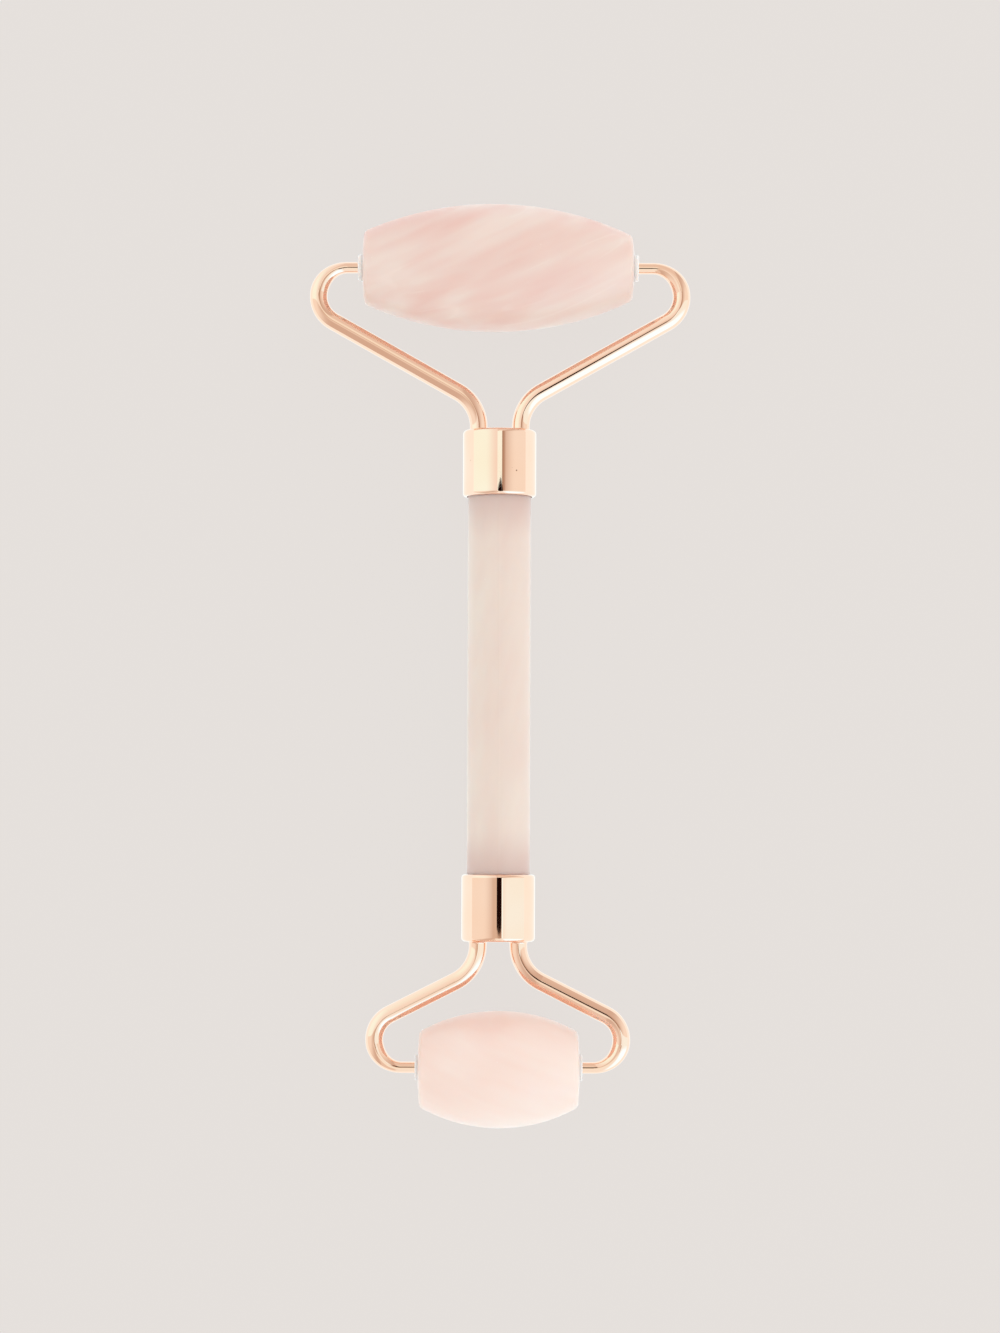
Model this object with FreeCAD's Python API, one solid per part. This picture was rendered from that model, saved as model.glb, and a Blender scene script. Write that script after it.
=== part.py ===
# Double-ended facial roller: a polished stone rod as the handle, a bent-wire yoke at each end of it,
# and in each yoke a barrel-shaped stone that spins on two stub axles. All sizes are in millimetres.
#
# The roller lies flat, as on a table: +Y runs along the handle to the large stone, +X along the
# axles, +Z up. The origin is the middle of the footprint, on the surface that the roller lies on.
# Left is -X and right is +X at both ends.
import FreeCAD, Part
import math
import os

# ---- Driving dimensions -------------------------------------------------------------------------

# Handle: a stone rod glued into a drawn metal ferrule at each end
HANDLE_D = 10.0
HANDLE_SHOWN = 60.0  # rod between the two ferrule mouths
HANDLE_SUNK = 6.5  # rod hidden in each ferrule
HANDLE_CHAMFER = 0.3

# Ferrule: a drawn cup, open towards the handle, with two holes in its floor for the wires
FERRULE_D = 11.65
FERRULE_LENGTH = 10.6
FERRULE_WALL = 0.6
FERRULE_FLOOR = 1.0
FERRULE_EDGE_R = 0.6  # rounding of the closed end
FERRULE_LIP_R = 0.5  # rounding of the mouth
GLUE_RECESS = 0.6  # adhesive stops this far inside the mouth

# Yoke wire: full diameter up to the outer loop, then drawn down to a thin stub axle
WIRE_D = 2.8
STUB_D = 1.8
NECK_BEND_R = 6.4  # bend just outside the ferrule, at the wire's centre
LEG_STRAIGHT = 0.6  # wire stays straight this far out of the ferrule
LEG_PEG = 1.2  # wire stands this far into the ferrule's hollow
TAPER_FROM_DEG = 10.0  # the wire starts to thin here on the loop; 90 is the start of the axle
TAPER_SECTIONS = 7
STUB_DEPTH = 6.5  # axle inside the stone
STUB_CHAMFER = 0.25

# Brazing: fills the gap between wire and hole, and stands as a small fillet outside
BRAZE_GAP = 0.08
BRAZE_FILLET = 0.35

# Bush: flanged nylon sleeve, glued into the end of the stone's bore, running on the stub axle
RUNNING_CLEARANCE = 0.05  # radial, between axle and bush
BUSH_D = 3.4
BUSH_LENGTH = 7.5  # barrel, without the flange
BUSH_FLANGE_D = 4.2
BUSH_EDGE_R = 0.2
BOND_GAP = 0.1  # adhesive between bush and bore
BOND_LENGTH = 6.9

# Stones
STONE_CORNER_R = 1.1
STONE_SEAT_D = 5.2  # flat ring round the bore, where the bush flange sits
STONE_END_FALL = 0.25  # the rest of the end face falls away by this much towards the rim
STONE_BORE_CHAMFER = 0.1


class Head:
    """One end of the roller. Distances along the handle are counted from the handle's middle."""

    def __init__(
        self, name, side, axle, leg, reach, loop_r, flange,
        length, crown_r, curve_r, crown_x, off_bore, slid,
    ):
        self.name = name
        self.side = side  # +1 for the end at +Y, -1 for the end at -Y
        self.axle = axle  # handle's middle to the stone's axis
        self.leg = leg  # handle's axis to the wire's centre, in the ferrule
        self.reach = reach  # handle's axis to the wire's centre, at the yoke's widest
        self.loop_r = loop_r  # outer loop, at the wire's centre
        self.flange = flange  # thickness of the bush flanges, which stand out of the stone
        self.length = length  # stone, between its end faces
        self.crown_r = crown_r  # stone's largest radius
        self.curve_r = curve_r  # radius of the stone's long barrel curve
        self.crown_x = crown_x  # crown's place, off the middle where the grinding left it
        self.off_bore = off_bore  # the barrel's middle lies this far beyond the hand-drilled bore's
        self.slid = slid  # the roller lies this far to the right of the yoke's middle, within its end float


LARGE = Head("large", 1, 66.65, 3.35, 28.95, 4.6, 0.75, 43.25, 10.2, 51.0, -0.7, 0.0, -0.3)
SMALL = Head("small", -1, 60.5, 3.2, 19.55, 4.4, 0.45, 25.6, 9.25, 25.5, 0.0, 0.3, 0.15)
HEADS = (LARGE, SMALL)
SIDES = ("left", "right")

# ---- Sizes that follow from them ----------------------------------------------------------------

AXIS_Z = LARGE.crown_r
SMALL_END = SMALL.axle + SMALL.off_bore + SMALL.crown_r
LARGE_END = LARGE.axle + LARGE.off_bore + LARGE.crown_r
HANDLE_Y = (SMALL_END - LARGE_END) / 2
MOUTH = HANDLE_SHOWN / 2
HANDLE_END = MOUTH + HANDLE_SUNK
FACE = MOUTH + FERRULE_LENGTH  # outer face of the ferrule's closed end
FLOOR = FACE - FERRULE_FLOOR
FERRULE_R = FERRULE_D / 2
CUP_R = FERRULE_R - FERRULE_WALL
WIRE_R = WIRE_D / 2
STUB_R = STUB_D / 2
HOLE_R = WIRE_R + BRAZE_GAP
BUSH_R = BUSH_D / 2
BUSH_BORE_R = STUB_R + RUNNING_CLEARANCE
STONE_BORE_R = BUSH_R + BOND_GAP

HANDLE_AXIS = FreeCAD.Vector(0, 1, 0)
AXLE_AXIS = FreeCAD.Vector(1, 0, 0)


# ---- Helpers ------------------------------------------------------------------------------------


def at(head, x, along, up=0.0):
    """A point of a head: x across, along from the handle's middle towards that head, up from the axes."""
    return FreeCAD.Vector(x, HANDLE_Y + head.side * along, AXIS_Z + up)


def polar(centre, radius, degrees):
    """(x, along) of a point on a circle about centre, itself an (x, along) pair."""
    angle = math.radians(degrees)
    return centre[0] + radius * math.cos(angle), centre[1] + radius * math.sin(angle)


def line(head, start, end):
    return Part.LineSegment(at(head, *start), at(head, *end)).toShape()


def arc(head, centre, radius, start_deg, end_deg):
    """An arc in the plane of the axes, with its angles counted from +x towards the head."""
    ends = [polar(centre, radius, a) for a in (start_deg, (start_deg + end_deg) / 2, end_deg)]
    return Part.Arc(*[at(head, *p) for p in ends]).toShape()


def turned(edges, centre, axis):
    """The solid that a closed outline makes when it turns about an axis."""
    return Part.Face(Part.Wire(edges)).revolve(centre, axis, 360)


def outline(head, points):
    """Straight edges through (x, along) points, closed."""
    return [line(head, a, b) for a, b in zip(points, points[1:] + points[:1])]


def both_sides(right):
    """The right-hand piece and its mirror image, by their side."""
    left = right.mirror(FreeCAD.Vector(0, 0, 0), AXLE_AXIS)
    return dict(zip(SIDES, (left, right)))


def slide(head, shape):
    """A piece of the roller, moved from the yoke's middle to where the roller lies."""
    return shape.translated(FreeCAD.Vector(head.slid, 0, 0))


# ---- Handle and ferrules ------------------------------------------------------------------------


def make_handle():
    start = at(LARGE, 0, -HANDLE_END)
    rod = Part.makeCylinder(HANDLE_D / 2, 2 * HANDLE_END, start, HANDLE_AXIS)
    rims = [e for e in rod.Edges if e.Closed]
    return rod.makeChamfer(HANDLE_CHAMFER, rims)


def make_ferrule(head):
    edge, lip = FERRULE_EDGE_R, FERRULE_LIP_R
    edges = [
        line(head, (0, FACE), (FERRULE_R - edge, FACE)),
        arc(head, (FERRULE_R - edge, FACE - edge), edge, 90, 0),
        line(head, (FERRULE_R, FACE - edge), (FERRULE_R, MOUTH + lip)),
        arc(head, (FERRULE_R - lip, MOUTH + lip), lip, 0, -90),
        line(head, (FERRULE_R - lip, MOUTH), (CUP_R, MOUTH)),
        line(head, (CUP_R, MOUTH), (CUP_R, FLOOR)),
        line(head, (CUP_R, FLOOR), (0, FLOOR)),
        line(head, (0, FLOOR), (0, FACE)),
    ]
    cup = turned(edges, at(head, 0, 0), HANDLE_AXIS)
    outwards = FreeCAD.Vector(0, head.side, 0)
    for x in (-head.leg, head.leg):
        cup = cup.cut(Part.makeCylinder(HOLE_R, FERRULE_FLOOR, at(head, x, FLOOR), outwards))
    return cup


def make_ferrule_glue(head, handle, arms):
    """Cured adhesive: a thin sleeve round the rod, and a plug between the rod's end and the floor."""
    outwards = FreeCAD.Vector(0, head.side, 0)
    start = MOUTH + GLUE_RECESS
    glue = Part.makeCylinder(CUP_R, FLOOR - start, at(head, 0, start), outwards)
    return glue.cut(handle).cut(arms[0]).cut(arms[1])


# ---- Yoke ---------------------------------------------------------------------------------------


def arm_slope(head):
    """Degrees between the axle and the straight arm, which touches both of its bends."""
    neck = (head.leg + NECK_BEND_R, FACE + LEG_STRAIGHT)
    loop = (head.reach - head.loop_r, head.axle - head.loop_r)
    dx, dy = loop[0] - neck[0], loop[1] - neck[1]
    crossing = math.asin((NECK_BEND_R + head.loop_r) / math.hypot(dx, dy))
    return math.degrees(math.atan2(dy, dx) - crossing)


def make_arm(head):
    """Right-hand arm: leg, neck bend, straight arm, outer loop that thins, and stub axle."""
    slope = arm_slope(head)
    neck = (head.leg + NECK_BEND_R, FACE + LEG_STRAIGHT)
    loop = (head.reach - head.loop_r, head.axle - head.loop_r)
    foot = (head.leg, FLOOR - LEG_PEG)
    neck_end = polar(neck, NECK_BEND_R, 90 + slope)
    loop_start = polar(loop, head.loop_r, slope - 90)

    thick = Part.Wire([
        line(head, foot, (head.leg, neck[1])),
        arc(head, neck, NECK_BEND_R, 180, 90 + slope),
        line(head, neck_end, loop_start),
        arc(head, loop, head.loop_r, slope - 90, TAPER_FROM_DEG),
    ])
    section = Part.Wire([Part.Circle(at(head, *foot), HANDLE_AXIS, WIRE_R).toShape()])
    arm = thick.makePipe(Part.Face(section))

    stub_end = head.length / 2 - STUB_DEPTH
    inwards = FreeCAD.Vector(-1, 0, 0)
    stub = Part.makeCylinder(STUB_R, loop[0] - stub_end, at(head, loop[0], head.axle), inwards)
    tip = min((e for e in stub.Edges if e.Closed), key=lambda e: e.CenterOfMass.x)
    stub = stub.makeChamfer(STUB_CHAMFER, [tip])
    return arm.fuse([make_taper(head, loop), stub]).removeSplitter()


def make_taper(head, loop):
    """The last part of the outer loop, where the wire thins smoothly from its full size to the axle's."""
    spine = Part.Wire([arc(head, loop, head.loop_r, TAPER_FROM_DEG, 90)])
    shell = Part.BRepOffsetAPI.MakePipeShell(spine)
    shell.setFrenetMode(True)
    for i in range(TAPER_SECTIONS):
        share = i / (TAPER_SECTIONS - 1)
        degrees = TAPER_FROM_DEG + share * (90 - TAPER_FROM_DEG)
        eased = share * share * (3 - 2 * share)
        radius = WIRE_R + eased * (STUB_R - WIRE_R)
        centre = at(head, *polar(loop, head.loop_r, degrees))
        angle = math.radians(degrees)
        heading = FreeCAD.Vector(-math.sin(angle), head.side * math.cos(angle), 0)
        shell.add(Part.Wire([Part.Circle(centre, heading, radius).toShape()]))
    shell.build()
    shell.makeSolid()
    return shell.shape()


def make_braze(head):
    """Right-hand joint: a sleeve of braze in the ferrule's hole, and a concave fillet outside it."""
    hole, wire = head.leg + HOLE_R, head.leg + WIRE_R
    foot = wire + BRAZE_FILLET
    edges = [
        line(head, (wire, FLOOR), (hole, FLOOR)),
        line(head, (hole, FLOOR), (hole, FACE)),
        line(head, (hole, FACE), (foot, FACE)),
        arc(head, (foot, FACE + BRAZE_FILLET), BRAZE_FILLET, -90, -180),
        line(head, (wire, FACE + BRAZE_FILLET), (wire, FLOOR)),
    ]
    return turned(edges, at(head, head.leg, 0), HANDLE_AXIS)


# ---- Rollers ------------------------------------------------------------------------------------


def barrel_radius(head, x):
    """The stone's radius at x, on its long barrel curve."""
    return head.crown_r - head.curve_r + math.sqrt(head.curve_r**2 - (x - head.crown_x) ** 2)


def make_stone(head):
    """Barrel with a through bore; its end faces are flat under the bush flanges, then fall away."""
    half = head.length / 2
    rim = half - STONE_END_FALL
    seat = STONE_SEAT_D / 2
    middle = head.axle + head.off_bore

    def p(x, radius):
        return at(head, x, middle + radius)

    corners = [p(-rim, barrel_radius(head, -rim)), p(rim, barrel_radius(head, rim))]
    crown = p(head.crown_x, head.crown_r)
    below = [corners[1], p(half, seat), p(half, 0), p(-half, 0), p(-half, seat), corners[0]]
    edges = [Part.Arc(corners[0], crown, corners[1]).toShape()]
    edges += [Part.LineSegment(a, b).toShape() for a, b in zip(below, below[1:])]
    barrel = turned(edges, at(head, 0, middle), AXLE_AXIS)
    rims = [e for e in barrel.Edges if e.Closed and abs(abs(e.CenterOfMass.x) - rim) < 0.01]
    return barrel.makeFillet(STONE_CORNER_R, rims).cut(make_bore(head))


def make_bore(head):
    """What the drill took out of the stone: a round hole from end to end, opened a little at both ends."""
    half = head.length / 2
    neck = half - STONE_BORE_CHAMFER
    mouth = STONE_BORE_R + STONE_BORE_CHAMFER
    right_half = [(neck, STONE_BORE_R), (half, mouth), (half, 0)]
    left_half = [(-x, radius) for x, radius in reversed(right_half)]
    points = [(x, head.axle + radius) for x, radius in left_half + right_half]
    return turned(outline(head, points), at(head, 0, head.axle), AXLE_AXIS)


def make_bush(head):
    """Right-hand bush: a sleeve inside the bore, and a flange against the stone's end face."""
    half = head.length / 2
    inner = half - BUSH_LENGTH
    axle = head.axle
    points = [
        (inner, axle + BUSH_BORE_R),
        (inner, axle + BUSH_R),
        (half, axle + BUSH_R),
        (half, axle + BUSH_FLANGE_D / 2),
        (half + head.flange, axle + BUSH_FLANGE_D / 2),
        (half + head.flange, axle + BUSH_BORE_R),
    ]
    bush = turned(outline(head, points), at(head, 0, axle), AXLE_AXIS)
    rim_x, rim_r = half + head.flange, BUSH_FLANGE_D / 2
    rim = [
        e for e in bush.Edges
        if e.Closed and abs(e.CenterOfMass.x - rim_x) < 0.01 and e.Curve.Radius > rim_r - 0.01
    ]
    return bush.makeFillet(BUSH_EDGE_R, rim)


def make_bond(head):
    """Right-hand bond: the tube of cured adhesive between the bush's barrel and the stone's bore."""
    end = head.length / 2 - STONE_BORE_CHAMFER
    start = at(head, end - BOND_LENGTH, head.axle)
    outer = Part.makeCylinder(STONE_BORE_R, BOND_LENGTH, start, AXLE_AXIS)
    inner = Part.makeCylinder(BUSH_R, BOND_LENGTH, start, AXLE_AXIS)
    return outer.cut(inner)


# ---- The whole roller ---------------------------------------------------------------------------


def make_nodes():
    handle = make_handle()
    nodes = {"handle_stone": handle}
    for head in HEADS:
        arms = both_sides(make_arm(head))
        nodes[f"{head.name}_ferrule"] = make_ferrule(head)
        nodes[f"{head.name}_ferrule_glue"] = make_ferrule_glue(head, handle, list(arms.values()))
        nodes[f"{head.name}_roller_stone"] = slide(head, make_stone(head))
        still = {"yoke_arm": arms, "braze_ring": both_sides(make_braze(head))}
        turning = {"bush": both_sides(make_bush(head)), "bush_bond": both_sides(make_bond(head))}
        for side in SIDES:
            for piece, shapes in still.items():
                nodes[f"{head.name}_{side}_{piece}"] = shapes[side]
            for piece, shapes in turning.items():
                nodes[f"{head.name}_{side}_{piece}"] = slide(head, shapes[side])
    return nodes


def main():
    os.makedirs("parts", exist_ok=True)
    for name, shape in make_nodes().items():
        if len(shape.Solids) != 1 or not shape.isValid():
            raise ValueError(f"{name} is {len(shape.Solids)} solids, valid: {shape.isValid()}")
        solid = shape.Solids[0]
        solid.exportStep(f"parts/{name}.step")
        print(f"{name}: {solid.Volume:.2f} mm3")


main()
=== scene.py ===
import math

import bpy
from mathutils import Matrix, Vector


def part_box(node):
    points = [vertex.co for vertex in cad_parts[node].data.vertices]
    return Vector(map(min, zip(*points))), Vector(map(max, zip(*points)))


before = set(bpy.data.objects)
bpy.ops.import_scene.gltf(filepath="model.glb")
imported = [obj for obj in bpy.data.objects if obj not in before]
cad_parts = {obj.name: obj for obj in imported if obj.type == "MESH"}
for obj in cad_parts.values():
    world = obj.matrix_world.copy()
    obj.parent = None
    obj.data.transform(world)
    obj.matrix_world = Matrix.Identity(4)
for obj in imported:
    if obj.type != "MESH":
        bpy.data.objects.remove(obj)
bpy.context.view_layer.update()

HEADS = ("large", "small")
SIDES = ("left", "right")
MM = 0.001


def middle(node_name):
    low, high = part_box(node_name)
    return (low + high) / 2


AXIS_HEIGHT = middle("handle_stone").z

# ---- Node helpers -------------------------------------------------------------------------------

NOISE_MIDDLE = 0.5
USUAL_NOISE = (0.3, 0.7)  # a noise seldom leaves this range
FULL_SPOT = 0.6  # the share of a spot's radius within which it is full; it fades out over the rest


class Nodes:
    """A node tree, written one node to a line. Inputs take a number, a colour or another node's output."""

    def __init__(self, owner):
        owner.use_nodes = True
        self.tree = owner.node_tree
        self.tree.nodes.clear()

    def add(self, kind, inputs=None, out=0, **settings):
        """Makes a node and gives its output, by its number or its name."""
        node = self.tree.nodes.new(kind)
        for name, value in settings.items():
            setattr(node, name, value)
        for name, value in (inputs or {}).items():
            socket = node.inputs[name]
            if isinstance(value, bpy.types.NodeSocket):
                self.tree.links.new(value, socket)
            else:
                socket.default_value = value
        return node.outputs[out] if node.outputs else node

    def math(self, operation, a, b=0.0, c=0.0, clamp=False):
        return self.add("ShaderNodeMath", {0: a, 1: b, 2: c}, operation=operation, use_clamp=clamp)

    def product(self, *values):
        result = values[0]
        for value in values[1:]:
            result = self.math("MULTIPLY", result, value)
        return result

    def clamped(self, value):
        return self.math("ADD", value, 0.0, clamp=True)

    def step(self, value, low, high, to_low=0.0, to_high=1.0):
        """Goes smoothly from to_low to to_high while value goes from low to high."""
        inputs = {
            "Value": value,
            "From Min": low,
            "From Max": high,
            "To Min": to_low,
            "To Max": to_high,
        }
        return self.add("ShaderNodeMapRange", inputs, interpolation_type="SMOOTHSTEP")

    def spread(self, noise, to_low=0.0, to_high=1.0):
        """Spreads the usual values of a noise from to_low to to_high."""
        return self.step(noise, *USUAL_NOISE, to_low, to_high)

    def between(self, value, start, end, soft):
        """1 where value lies well inside start and end, 0 outside, with soft edges."""
        return self.product(self.step(value, start, start + soft), self.step(value, end, end - soft))

    def mix(self, share, a, b, blend="MIX"):
        inputs = {"Factor": share, 6: a, 7: b}
        return self.add("ShaderNodeMix", inputs, out=2, data_type="RGBA", blend_type=blend)

    def place(self):
        """Where a point lies in the coordinates of its own object, in metres."""
        return self.add("ShaderNodeTexCoord", out="Object")

    def noise(self, vector, scale, detail=2.0, distortion=0.0):
        """Cloudy noise, with its scale in cells to the metre."""
        inputs = {"Vector": vector, "Scale": scale, "Detail": detail, "Distortion": distortion}
        return self.add("ShaderNodeTexNoise", inputs)

    def split(self, vector):
        """The three parts of a vector."""
        return tuple(self.add("ShaderNodeSeparateXYZ", {0: vector}).node.outputs)

    def vector_math(self, operation, a, b, out=0):
        return self.add("ShaderNodeVectorMath", {0: a, 1: b}, out=out, operation=operation)

    def shifted(self, vector, shift):
        return self.vector_math("ADD", vector, shift)

    def towards(self, vector, direction):
        """How far a point lies along a direction, times the direction's length."""
        return self.vector_math("DOT_PRODUCT", vector, direction, "Value")

    def distance(self, vector, point):
        return self.vector_math("DISTANCE", vector, point, "Value")

    def drawn_out(self, vector, turn, stretch):
        """Turns the axes by an angle about each, then makes a pattern longer along the turned axes."""
        inputs = {"Vector": vector, "Rotation": turn, "Scale": stretch}
        return self.add("ShaderNodeMapping", inputs, vector_type="TEXTURE")

    def spot(self, distance, radius):
        """1 at the middle of a round spot and 0 outside it."""
        return self.step(distance, radius, radius * FULL_SPOT)

    def dots(self, vector, scale, radius, share):
        """Small round spots, one to a cell in that share of the cells; the radius is in cells."""
        cells = self.add("ShaderNodeTexVoronoi", {"Vector": vector, "Scale": scale}).node.outputs
        chosen = self.math("GREATER_THAN", self.split(cells["Color"])[0], 1 - share)
        return self.product(self.spot(cells["Distance"], radius), chosen)

    def bump(self, height, distance, strength=1.0):
        inputs = {"Height": height, "Strength": strength, "Distance": distance}
        return self.add("ShaderNodeBump", inputs, out="Normal")

    def glow(self, seen, mirrored, given):
        """Light of three colours: as the camera sees it, as gloss mirrors it, and as it lights all else."""
        unseen = self.mix(self.add("ShaderNodeLightPath", out="Is Glossy Ray"), given, mirrored)
        return self.mix(self.add("ShaderNodeLightPath", out="Is Camera Ray"), unseen, seen)

    def output(self, surface, kind="ShaderNodeOutputMaterial"):
        self.add(kind, {"Surface": surface})


def material(name):
    made = bpy.data.materials.new(name)
    return made, Nodes(made)


def dress(node_name, mat):
    """Gives a CAD node that stays in view its finished material."""
    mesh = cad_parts[node_name].data
    mesh.materials.clear()
    mesh.materials.append(mat)


# ---- Stones -------------------------------------------------------------------------------------

FLECK = (1, 0.97, 0.94, 1)
THREAD = (0.88, 0.76, 0.69, 1)
HANDLE_DEEP = (0.77, 0.635, 0.56, 1)
HANDLE_MILK = (0.79, 0.69, 0.61, 1)
HANDLE_SHADE = (0.85, 0.76, 0.765, 1)  # what the handle's colour is multiplied by next to the cups
SHADE_LENGTH = 8 * MM
SUNK_IN_CUP = 6.5 * MM  # the length of rod that each cup hides
RIPPLE_DEPTH = 2e-6
RIPPLE_SCALE = 500
CLOUD_SWING = 2.5  # how strongly the clouds and the streaks colour the stone, at full contrast
STREAK_SWING = 1.9
THREAD_STRENGTH = 0.3
FLECK_STRENGTH = 0.25
DIP = (0.3, 0.2)  # how far the veils turn out of the level, about x and about y


def quartz_surface(n, at, body, depth):
    """Smooth stone that light enters to a depth; the polish leaves a faint ripple and a satin gloss."""
    ripple = n.noise(at, RIPPLE_SCALE)
    return n.add("ShaderNodeBsdfPrincipled", {
        "Base Color": body,
        "Roughness": n.spread(ripple, 0.33, 0.43),
        "IOR": 1.54,
        "Subsurface Weight": 0.4,
        "Subsurface Radius": (1.0, 0.7, 0.55),
        "Subsurface Scale": depth,
        "Normal": n.bump(ripple, RIPPLE_DEPTH),
    })


def veils(n, at, turn, contrast):
    """About 0 to 1: soft clouds crossed by long fine streaks, which lie along the turned x axis."""
    clouds = n.noise(n.drawn_out(at, turn, (3, 1, 1.5)), scale=120, distortion=0.3)
    streaks = n.noise(n.drawn_out(at, turn, (9, 1, 2)), scale=420, detail=1.5, distortion=0.1)
    clouds = n.math("SUBTRACT", clouds, NOISE_MIDDLE)
    streaks = n.math("SUBTRACT", streaks, NOISE_MIDDLE)
    cloudy = n.math("MULTIPLY_ADD", clouds, CLOUD_SWING * contrast, NOISE_MIDDLE)
    return n.math("MULTIPLY_ADD", streaks, STREAK_SWING * contrast, cloudy)


def threads(n, at, turn):
    """1 on thin threads, drawn out like the veils, which come and go."""
    weave = n.noise(n.drawn_out(at, turn, (14, 1, 3)), scale=240, detail=0.0)
    off_thread = n.math("ABSOLUTE", n.math("SUBTRACT", weave, NOISE_MIDDLE))
    patchy = n.step(n.noise(at, scale=130, detail=1), 0.45, 0.65)
    return n.product(n.step(off_thread, 0.03, 0.0), patchy)


def flecks(n, at, body):
    """The body colour with tiny white points in it."""
    points = n.dots(at, scale=450, radius=0.05, share=0.1)
    return n.mix(n.product(points, FLECK_STRENGTH), body, FLECK)


def roller_quartz(name, deep, milk, milk_and_painted_light_slope, slant, contrast, patches):
    """
    Cloudy pink stone with slanting veils. The direction vector, per metre, is the way in which it grows
    paler: partly the stone's own paler end, and partly painted light, the side that the light falls on
    drawn paler. Each patch is a milkier cloud, by its middle and its reach in millimetres and its strength;
    below 0, it is a clearer place.
    """
    mat, n = material(f"{name}_quartz")
    at = n.shifted(n.place(), -middle(f"{name}_roller_stone"))
    turn = (*DIP, slant)
    # Paler along the direction vector: partly painted light, the side that the light falls on drawn paler,
    # and partly the stone's own paler end
    paleness = n.math("ADD", veils(n, at, turn, contrast), n.towards(at, milk_and_painted_light_slope))
    for place, reach, strength in patches:
        inside = n.step(n.distance(at, Vector(place) * MM), reach * MM, 0.0)
        paleness = n.math("MULTIPLY_ADD", inside, strength, paleness)
    body = n.mix(n.clamped(paleness), deep, milk)
    body = n.mix(n.product(threads(n, at, turn), THREAD_STRENGTH * contrast), body, THREAD)
    n.output(quartz_surface(n, at, flecks(n, at, body), depth=4 * MM))
    return mat


def handle_quartz():
    """Paler, greyer stone in soft clouds along the rod, darker near the cups that keep the light out."""
    mat, n = material("handle_quartz")
    at = n.shifted(n.place(), -middle("handle_stone"))
    paleness = veils(n, at, turn=(0, 0.4, 1.35), contrast=0.8)
    body = n.mix(n.clamped(paleness), HANDLE_DEEP, HANDLE_MILK)
    from_middle = n.math("ABSOLUTE", n.split(at)[1])
    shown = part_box("handle_stone")[1].y - middle("handle_stone").y - SUNK_IN_CUP
    shade = n.step(from_middle, shown - SHADE_LENGTH, shown)
    body = n.mix(shade, body, n.mix(1.0, body, HANDLE_SHADE, "MULTIPLY"))
    n.output(quartz_surface(n, at, flecks(n, at, body), depth=3 * MM))
    return mat


# ---- Metal, nylon and adhesive ------------------------------------------------------------------

PLATING = ((0.95, 0.61, 0.45, 1), (0.95, 0.63, 0.48, 1))  # the colour wanders between these two
PIT_BOTTOM = (0.25, 0.10, 0.06, 1)
PIT_DARKNESS = 0.8
PIT_DEPTH = 4e-6
NYLON = ((0.94, 0.86, 0.81, 1), (0.97, 0.92, 0.88, 1))
ADHESIVE = ((0.72, 0.58, 0.42, 1), (0.85, 0.74, 0.58, 1))

# The nicks in the large ferrule, each by its way from the ferrule's middle and its radius, in millimetres
CUP_NICKS = [((2.7, -1.5, 5.2), 0.17), ((2.0, -1.1, 5.5), 0.06), ((-4.6, 0.2, 3.6), 0.08)]


def rose_gold(name, peel, pit_share, marks=(1, 1, 1), nicks=()):
    """
    Bright plating: it mirrors the room, through a slight orange peel of that depth, drawing marks stretched
    along the axes, pits and nicks.
    """
    mat, n = material(name)
    at = n.place()
    drawn = n.noise(n.drawn_out(at, (0, 0, 0), marks), scale=5000)
    skin = n.noise(at, scale=2600)
    pits = n.dots(at, scale=420, radius=0.06, share=pit_share)
    for point, radius in nicks:
        pits = n.math("MAXIMUM", pits, n.spot(n.distance(at, point), radius))
    skin = n.math("MULTIPLY_ADD", drawn, 0.25, skin)
    height = n.math("ADD", skin, n.math("MULTIPLY", pits, -PIT_DEPTH / peel))
    tint = n.mix(n.spread(n.noise(at, scale=120)), *PLATING)
    tint = n.mix(n.product(pits, PIT_DARKNESS), tint, PIT_BOTTOM)
    n.output(n.add("ShaderNodeBsdfPrincipled", {
        "Base Color": tint,
        "Metallic": 1.0,
        "Roughness": n.spread(drawn, 0.015, 0.03),
        "Normal": n.bump(height, peel),
    }))
    return mat


def nylon():
    """Moulded bush: white, slightly translucent, with a satin skin."""
    mat, n = material("nylon")
    at = n.place()
    skin = n.add("ShaderNodeTexNoise", {"Vector": at, "Scale": 2500, "Detail": 3, "Roughness": 0.6})
    n.output(n.add("ShaderNodeBsdfPrincipled", {
        "Base Color": n.mix(n.spread(n.noise(at, scale=600)), *NYLON),
        "Roughness": n.spread(skin, 0.25, 0.38),
        "Subsurface Weight": 0.7,
        "Subsurface Radius": (1.0, 0.8, 0.7),
        "Subsurface Scale": 1.2 * MM,
        "Normal": n.bump(skin, 0.03 * MM, strength=0.1),
    }))
    return mat


def cured_adhesive():
    """Amber epoxy with a trace of haze; it hardly shows."""
    mat, n = material("cured_adhesive")
    haze = n.add("ShaderNodeTexNoise", {"Vector": n.place(), "Scale": 800, "Detail": 3, "Roughness": 0.6})
    n.output(n.add("ShaderNodeBsdfPrincipled", {
        "Base Color": n.mix(n.spread(haze), *ADHESIVE),
        "Roughness": n.spread(haze, 0.15, 0.3),
        "Normal": n.bump(haze, 0.05 * MM, strength=0.2),
    }))
    return mat


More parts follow.
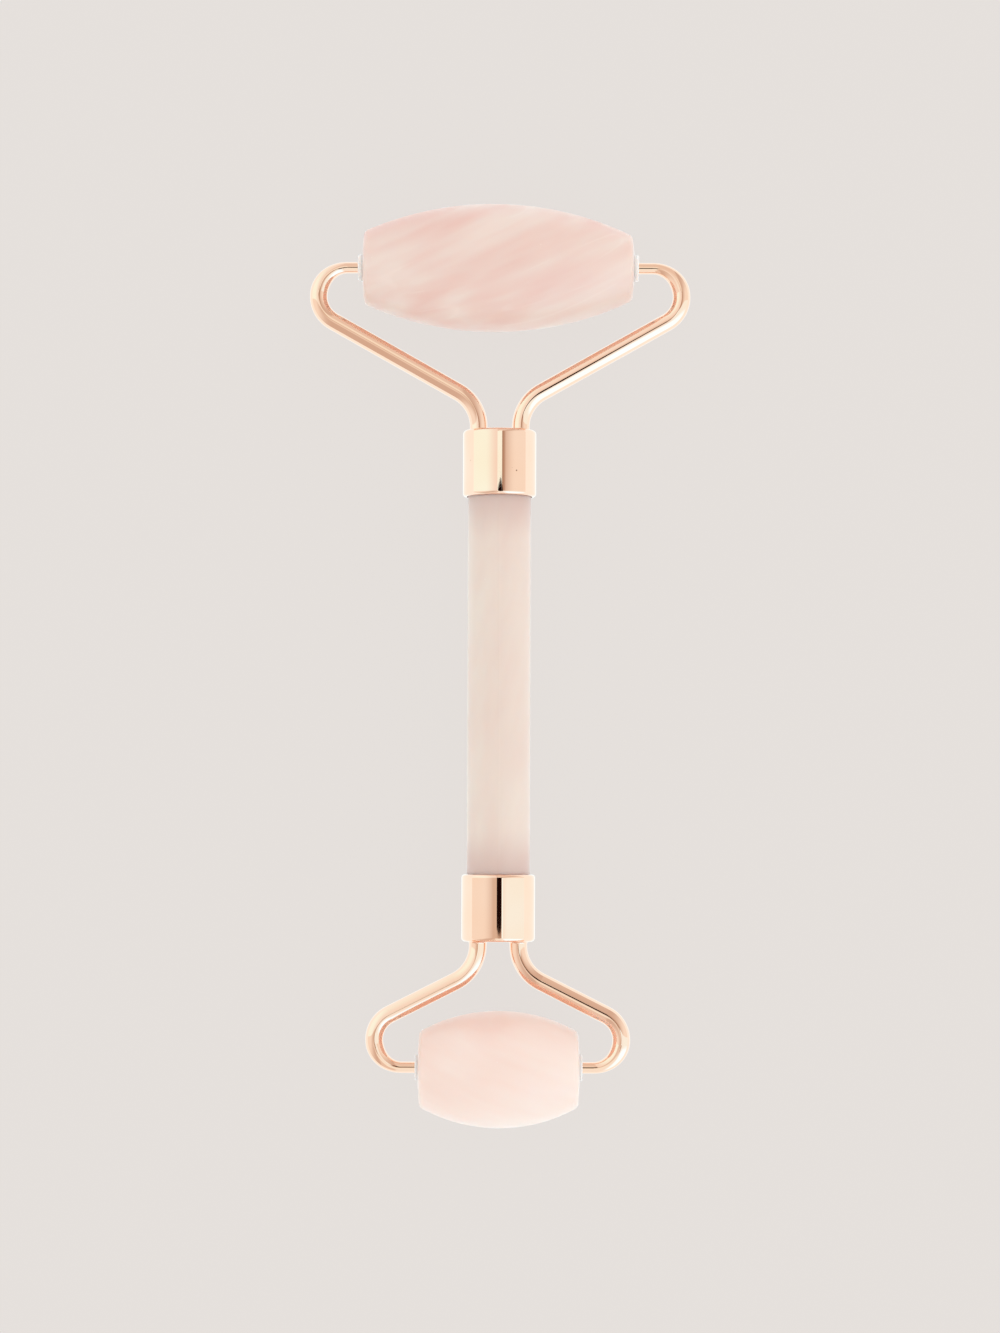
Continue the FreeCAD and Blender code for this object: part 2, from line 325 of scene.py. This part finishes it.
def dress_all():
    dress("handle_stone", handle_quartz())
    dress("large_roller_stone", roller_quartz(
        "large",
        deep=(0.79, 0.54, 0.475, 1),
        milk=(0.82, 0.68, 0.61, 1),
        # Paler towards -y and a little towards +x: painted light on the lower side, where the light falls,
        # and the stone's own paler right end
        milk_and_painted_light_slope=(4, -14, 0),
        slant=math.radians(27),
        contrast=0.85,
        patches=[
            ((-19, 1, 9), 9, 0.5), ((-7, -7, 7), 6, 0.6), ((20, 1, 9), 10, 0.3), ((-8, 6, 6), 9, -0.4),
        ],
    ))
    dress("small_roller_stone", roller_quartz(
        "small",
        deep=(0.88, 0.66, 0.58, 1),
        milk=(0.90, 0.78, 0.71, 1),
        # Paler towards -y and a little towards +x: painted light on the lower side, where the light falls,
        # and the stone's own paler end
        milk_and_painted_light_slope=(12, -45, 0),
        slant=math.radians(-20),
        contrast=0.35,
        patches=[((-7, 2, 8), 7, 0.4), ((-2, 8, 4), 6, -0.3)],
    ))
    nicks = [(middle("large_ferrule") + Vector(way) * MM, radius * MM) for way, radius in CUP_NICKS]
    cup = rose_gold("cup_plating", peel=8e-8, pit_share=0.12, marks=(1, 6, 1), nicks=nicks)
    wire = rose_gold("wire_plating", peel=3e-7, pit_share=0.05)
    braze = rose_gold("braze", peel=5e-6, pit_share=0.2)
    bush, adhesive = nylon(), cured_adhesive()
    for head in HEADS:
        dress(f"{head}_ferrule", cup)
        dress(f"{head}_ferrule_glue", adhesive)
        for side in SIDES:
            dress(f"{head}_{side}_yoke_arm", wire)
            dress(f"{head}_{side}_braze_ring", braze)
            dress(f"{head}_{side}_bush", bush)
            dress(f"{head}_{side}_bush_bond", adhesive)


# ---- Studio -------------------------------------------------------------------------------------

CAMERA_HEIGHT = 0.65  # above the handle's axis
CAMERA_Y = -0.031
CAMERA_ROLL = math.radians(0.19)
AIM = Vector((0.00027, -0.0004, AXIS_HEIGHT))  # the point in the middle of the picture
SEEN_HEIGHT = 211.8 * MM  # what the picture's height takes in, at the handle's axis
SENSOR = 36.0  # in millimetres

PAPER = (0.783, 0.745, 0.716, 1)  # the floor and the wall behind, as they look from in front
MIRRORED_FLOOR = (1.02, 1.22, 1.28, 1)  # how the floor looks in the polished metal
BOUNCE = (0.95, 0.92, 0.90, 1)  # the soft light that the floor gives back to the stones
SHADED_SHARE = 0.08  # how much of the floor's brightness can be taken away by a shadow
FLOOR_REACH = 6.0  # from the middle to each side
FELT = (0.012, 0.004, 0.003, 1)

# The even light that falls on the stones, from the left and from the right
TENT = ((1.01, 1.00, 0.99, 1), (1.17, 1.14, 1.13, 1))

# What the metal mirrors, by the parts of the room. The walls are dullest in the corners.
CORNER = (0.70, 0.63, 0.57, 1)
END_WALL = (0.86, 0.84, 0.79, 1)
SIDE_WALL = (1.00, 1.08, 1.06, 1)
BACK_CEILING = (0.74, 0.68, 0.60, 1)
FRONT_CEILING = (0.89, 0.91, 0.86, 1)
RIGHT_CEILING = (0.48, 0.36, 0.28, 1)
BACK_GAP = (1.00, 1.12, 1.06, 1)
FRONT_GAP = (1.02, 1.22, 1.22, 1)
RIGHT_BOX = ((1.01, 1.18, 1.22, 1), (1.02, 1.33, 1.42, 1))  # its inner and its outer part
GLARE = (1.04, 1.65, 2.10, 1)
BEAM = (1.04, 1.60, 1.80, 1)
LEFT_BOX = ((0.99, 1.06, 1.06, 1), (1.03, 1.42, 1.44, 1))
STRIP = (1.04, 1.38, 1.40, 1)


def dimmed(colour, share):
    return [part * share for part in colour[:3]] + [1]


def sheet(name, outline, height, surface):
    """
    A flat sheet through the given corners, which is part of the studio and not of the roller. The surface
    function makes its shader.
    """
    mesh = bpy.data.meshes.new(name)
    mesh.from_pydata([(x, y, height) for x, y in outline], [], [range(len(outline))])
    mat, n = material(name)
    n.output(surface(n))
    mesh.materials.append(mat)
    obj = bpy.data.objects.new(name, mesh)
    bpy.context.scene.collection.objects.link(obj)
    return obj


def paper(n):
    """Most of the paper's brightness is its own glow, so that shadows on it stay faint."""
    matt = n.add("ShaderNodeBsdfDiffuse", {"Color": dimmed(PAPER, SHADED_SHARE)})
    glow = n.glow(seen=dimmed(PAPER, 1 - SHADED_SHARE), mirrored=MIRRORED_FLOOR, given=BOUNCE)
    lit = n.add("ShaderNodeEmission", {"Color": glow, "Strength": 1.0})
    return n.add("ShaderNodeAddShader", {0: matt, 1: lit})


def felt(n):
    return n.add("ShaderNodeBsdfDiffuse", {"Color": FELT})


def floor():
    corners = ((-1, -1), (1, -1), (1, 1), (-1, 1))
    sheet("floor", [(x * FLOOR_REACH, y * FLOOR_REACH) for x, y in corners], 0.0, paper)


def overhead_flag():
    """
    A dark flag that hangs level with the camera, for the polished metal to mirror. Its far edge rises to a
    low peak between two eaves, and a spearhead on a thin neck hangs from its near edge. Lengths in metres.
    """
    left, right, near, far = -0.050, 0.120, -0.0545, 0.0862
    chamfer, left_bend, right_bend = 0.002, 0.05, 0.04
    left_eave, right_eave = 0.012, 0.015
    peak = (0.042, 0.0896)
    neck_left, neck_width, neck_end = 0.035, 0.002, -0.058
    head_left, head_right, head_widest, tip = 0.008, 0.062, -0.064, -0.105
    spearhead = [
        (neck_left, near),
        (neck_left, neck_end),
        (head_left, head_widest),
        (neck_left, tip),
        (head_right, head_widest),
        (neck_left + neck_width, neck_end),
        (neck_left + neck_width, near),
    ]
    outline = [
        (left, near + chamfer),
        (left + left_bend, near),
        *spearhead,
        (right - right_bend, near),
        (right, near + chamfer),
        (right, far - chamfer),
        (right + right_eave, far),
        peak,
        (left - left_eave, far),
        (left, far - chamfer),
    ]
    flag = sheet("overhead_flag", outline, AXIS_HEIGHT + CAMERA_HEIGHT, felt)
    flag.visible_camera = False


def mirrored_room(n, x, y, z):
    """
    What the metal mirrors in each direction: soft boxes in two opposite quarters, warm dull walls in the
    others, and gaps of light between them. x, y and z are the parts of the unit vector towards the light,
    and the numbers with them say where one patch of light gives way to the next.
    """
    sideways = n.math("MULTIPLY_ADD", n.math("ABSOLUTE", y), -0.6, n.math("ABSOLUTE", x))
    endways = n.math("MULTIPLY_ADD", n.math("ABSOLUTE", x), -1.8, n.math("ABSOLUTE", y))
    wall = n.mix(n.step(endways, -0.05, 0.1), CORNER, END_WALL)
    wall = n.mix(n.step(sideways, 0.05, 0.75), wall, SIDE_WALL)
    ceiling = n.mix(n.step(y, -0.02, -0.10), BACK_CEILING, FRONT_CEILING)
    ceiling = n.mix(n.step(x, -0.1, 0.15), ceiling, RIGHT_CEILING)
    light = n.mix(n.step(z, 0.93, 0.98), wall, ceiling)

    back_gap = n.product(n.between(x, -0.06, 0.18, soft=0.06), n.between(y, 0.11, 0.50, soft=0.08))
    light = n.mix(back_gap, light, BACK_GAP)
    front_gap = n.product(n.step(x, -0.19, -0.13), n.between(y, -0.75, -0.19, soft=0.08))
    light = n.mix(front_gap, light, FRONT_GAP)

    right_box = n.mix(n.step(x, 0.2, 0.5), *RIGHT_BOX)
    glare = n.product(n.step(y, -0.15, -0.4), n.step(x, 0.15, 0.35))
    right_box = n.mix(glare, right_box, GLARE)
    beam = n.product(n.between(x, 0.205, 0.26, soft=0.015), n.step(y, -0.12, -0.10))
    right_box = n.mix(beam, right_box, BEAM)
    right_edge = n.step(n.math("MULTIPLY_ADD", y, -0.33, x), 0.15, 0.22)
    light = n.mix(n.product(right_edge, n.step(y, 0.05, 0.03)), light, right_box)

    left_box = n.mix(n.step(x, -0.12, -0.75), *LEFT_BOX)
    light = n.mix(n.product(n.step(x, -0.05, -0.15), n.step(y, 0.03, 0.06)), light, left_box)
    across_strip = n.between(y, 0.07, 0.13, soft=0.015)
    strip = n.product(n.between(x, -0.13, 0.145, soft=0.02), across_strip, n.step(z, 0.0, 0.1))
    return n.mix(strip, light, STRIP)


def studio():
    """Gloss mirrors a room, an even tent lights all else, and the camera sees plain paper."""
    world = bpy.data.worlds.new("studio")
    bpy.context.scene.world = world
    n = Nodes(world)
    x, y, z = n.split(n.add("ShaderNodeTexCoord", out="Generated"))
    tent = n.mix(n.step(x, -0.6, 0.6), *TENT)
    light = n.glow(seen=PAPER, mirrored=mirrored_room(n, x, y, z), given=tent)
    backdrop = n.add("ShaderNodeBackground", {"Color": light, "Strength": 1.0})
    n.output(backdrop, "ShaderNodeOutputWorld")


def camera():
    """Almost straight above the roller, a little towards its small stone."""
    place = Vector((AIM.x, CAMERA_Y, AXIS_HEIGHT + CAMERA_HEIGHT))
    away = place - AIM
    data = bpy.data.cameras.new("camera")
    data.sensor_width = SENSOR
    data.lens = SENSOR * away.length / SEEN_HEIGHT
    obj = bpy.data.objects.new("camera", data)
    obj.location = place
    obj.rotation_euler = (math.atan2(-away.y, away.z), 0, CAMERA_ROLL)
    bpy.context.scene.collection.objects.link(obj)
    bpy.context.scene.camera = obj


dress_all()
floor()
overhead_flag()
studio()
camera()
bpy.context.scene.view_settings.view_transform = "Standard"
